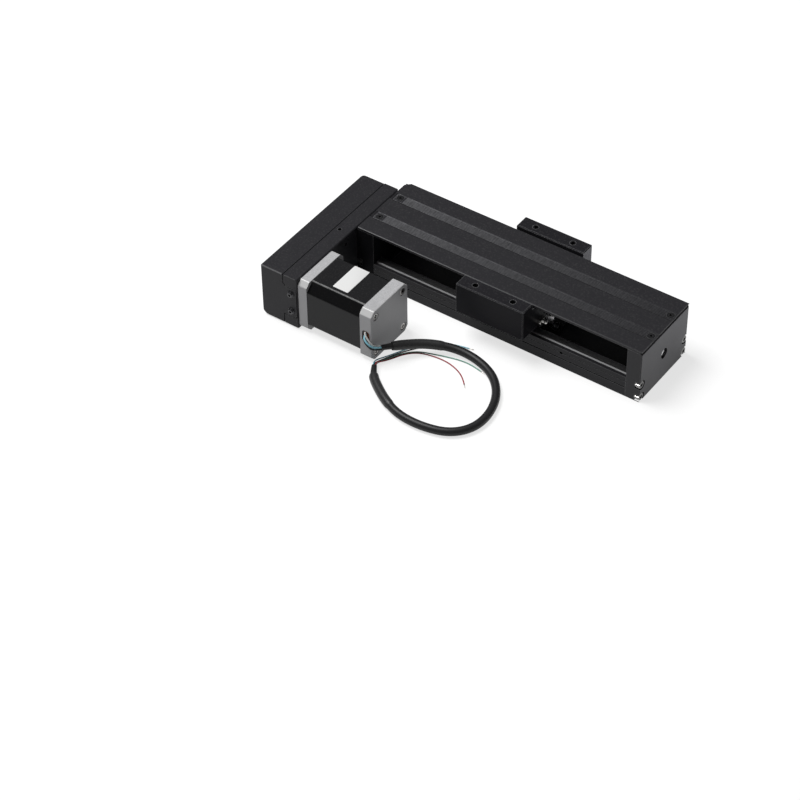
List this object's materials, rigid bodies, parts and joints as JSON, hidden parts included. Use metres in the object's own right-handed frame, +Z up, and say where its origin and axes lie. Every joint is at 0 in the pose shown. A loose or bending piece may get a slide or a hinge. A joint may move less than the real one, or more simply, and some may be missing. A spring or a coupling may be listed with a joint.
{
  "type": "screw linear module",
  "caption": "Ball screw linear module: covered U-shaped rail base, winged carriage, and a stepper motor folded back beside it behind a belt drive housing, with a loose motor cable.",
  "frame": {"origin": "middle of the base profile's bottom face, midway along the profile", "axes": "+X along the travel from the motor plate to the tail block, +Y across away from the motor, +Z up"},
  "size_m": [0.2595, 0.1787, 0.0459],
  "materials": {
    "black_anodised": "fine satin black anodising",
    "bearing_steel": "ground and hardened",
    "screw_steel": "bright plated",
    "dark_steel": "black oxide",
    "bare_aluminium": "die cast or turned, matt",
    "motor_black": "black lacquered laminations",
    "label_white": "blank paper label",
    "bushing_brown": "moulded insulation",
    "nipple_metal": "plated",
    "cap_plastic": "moulded",
    "belt_rubber": "moulded",
    "cable_sheath": "soft satin jacket",
    "sleeve_black": "shrunk tubing",
    "wire_red": "insulated wire",
    "wire_black": "insulated wire",
    "wire_blue": "insulated wire",
    "wire_green": "insulated wire",
    "wire_white": "insulated wire"
  },
  "bodies": {
    "frame": {"base_profile": "black_anodised", "belt_cover": "black_anodised", "belt_cover_screws": "dark_steel", "cable_core_ends": "cable_sheath", "cable_sleeve_free_end": "sleeve_black", "cable_sleeve_motor_end": "sleeve_black", "cover_plate": "black_anodised", "cover_screws": "dark_steel", "drive_bearing_outer_rings": "bearing_steel", "drive_block_screws": "screw_steel", "drive_end_block": "black_anodised", "lead_black": "wire_black", "lead_blue": "wire_blue", "lead_bushing": "bushing_brown", "lead_red": "wire_red", "lead_white": "wire_white", "motor_bearing_outer_rings": "bearing_steel", "motor_cable": "cable_sheath", "motor_cap_screws": "screw_steel", "motor_flange": "bare_aluminium", "motor_label": "label_white", "motor_mount_screws": "dark_steel", "motor_plate": "black_anodised", "motor_plate_screws": "dark_steel", "motor_rear_cap": "bare_aluminium", "motor_stator": "motor_black", "rail_strip_front": "bearing_steel", "rail_strip_rear": "bearing_steel", "spring_washers": "screw_steel", "tail_bearing_outer_rings": "bearing_steel", "tail_block_screws": "screw_steel", "tail_end_block": "black_anodised", "timing_belt": "belt_rubber", "wire_black": "wire_black", "wire_blue": "wire_blue", "wire_green": "wire_green", "wire_red": "wire_red"},
    "screw": {"ball_screw": "bearing_steel", "driven_pulley": "bare_aluminium", "driven_pulley_set_screws": "dark_steel", "drive_bearing_inner_rings": "bearing_steel", "tail_bearing_inner_rings": "bearing_steel", "lock_nut": "bearing_steel"},
    "rotor": {"motor_shaft": "bearing_steel", "rotor_stack": "dark_steel", "drive_pulley": "bare_aluminium", "drive_pulley_set_screws": "dark_steel", "motor_bearing_inner_rings": "bearing_steel"},
    "carriage": {"carriage_saddle": "black_anodised", "race_bar_front": "bearing_steel", "race_bar_rear": "bearing_steel", "ball_return_caps": "cap_plastic", "return_cap_screws": "dark_steel", "guide_balls": "bearing_steel", "ball_nut": "bearing_steel", "nut_screws": "dark_steel", "grease_nipple": "nipple_metal"}
  },
  "joints": [
    {"name": "motor_spin", "type": "hinge", "parent": "frame", "child": "rotor", "pos_m": [-0.09, -0.077, 0.0214], "axis": [1, 0, 0], "range_deg": [-5222, 6662]},
    {"name": "screw_spin", "type": "hinge", "parent": "frame", "child": "screw", "pos_m": [0, 0, 0.0214], "axis": [1, 0, 0], "range_deg": [-5222, 6662]},
    {"name": "carriage_slide", "type": "slide", "parent": "frame", "child": "carriage", "axis": [1, 0, 0], "range_m": [-0.074, 0.058]}
  ],
  "couplings": [
    {"joint": "screw_spin", "follows": "carriage_slide", "rad_per_m": -1570.8},
    {"joint": "motor_spin", "follows": "carriage_slide", "rad_per_m": -1570.8}
  ]
}
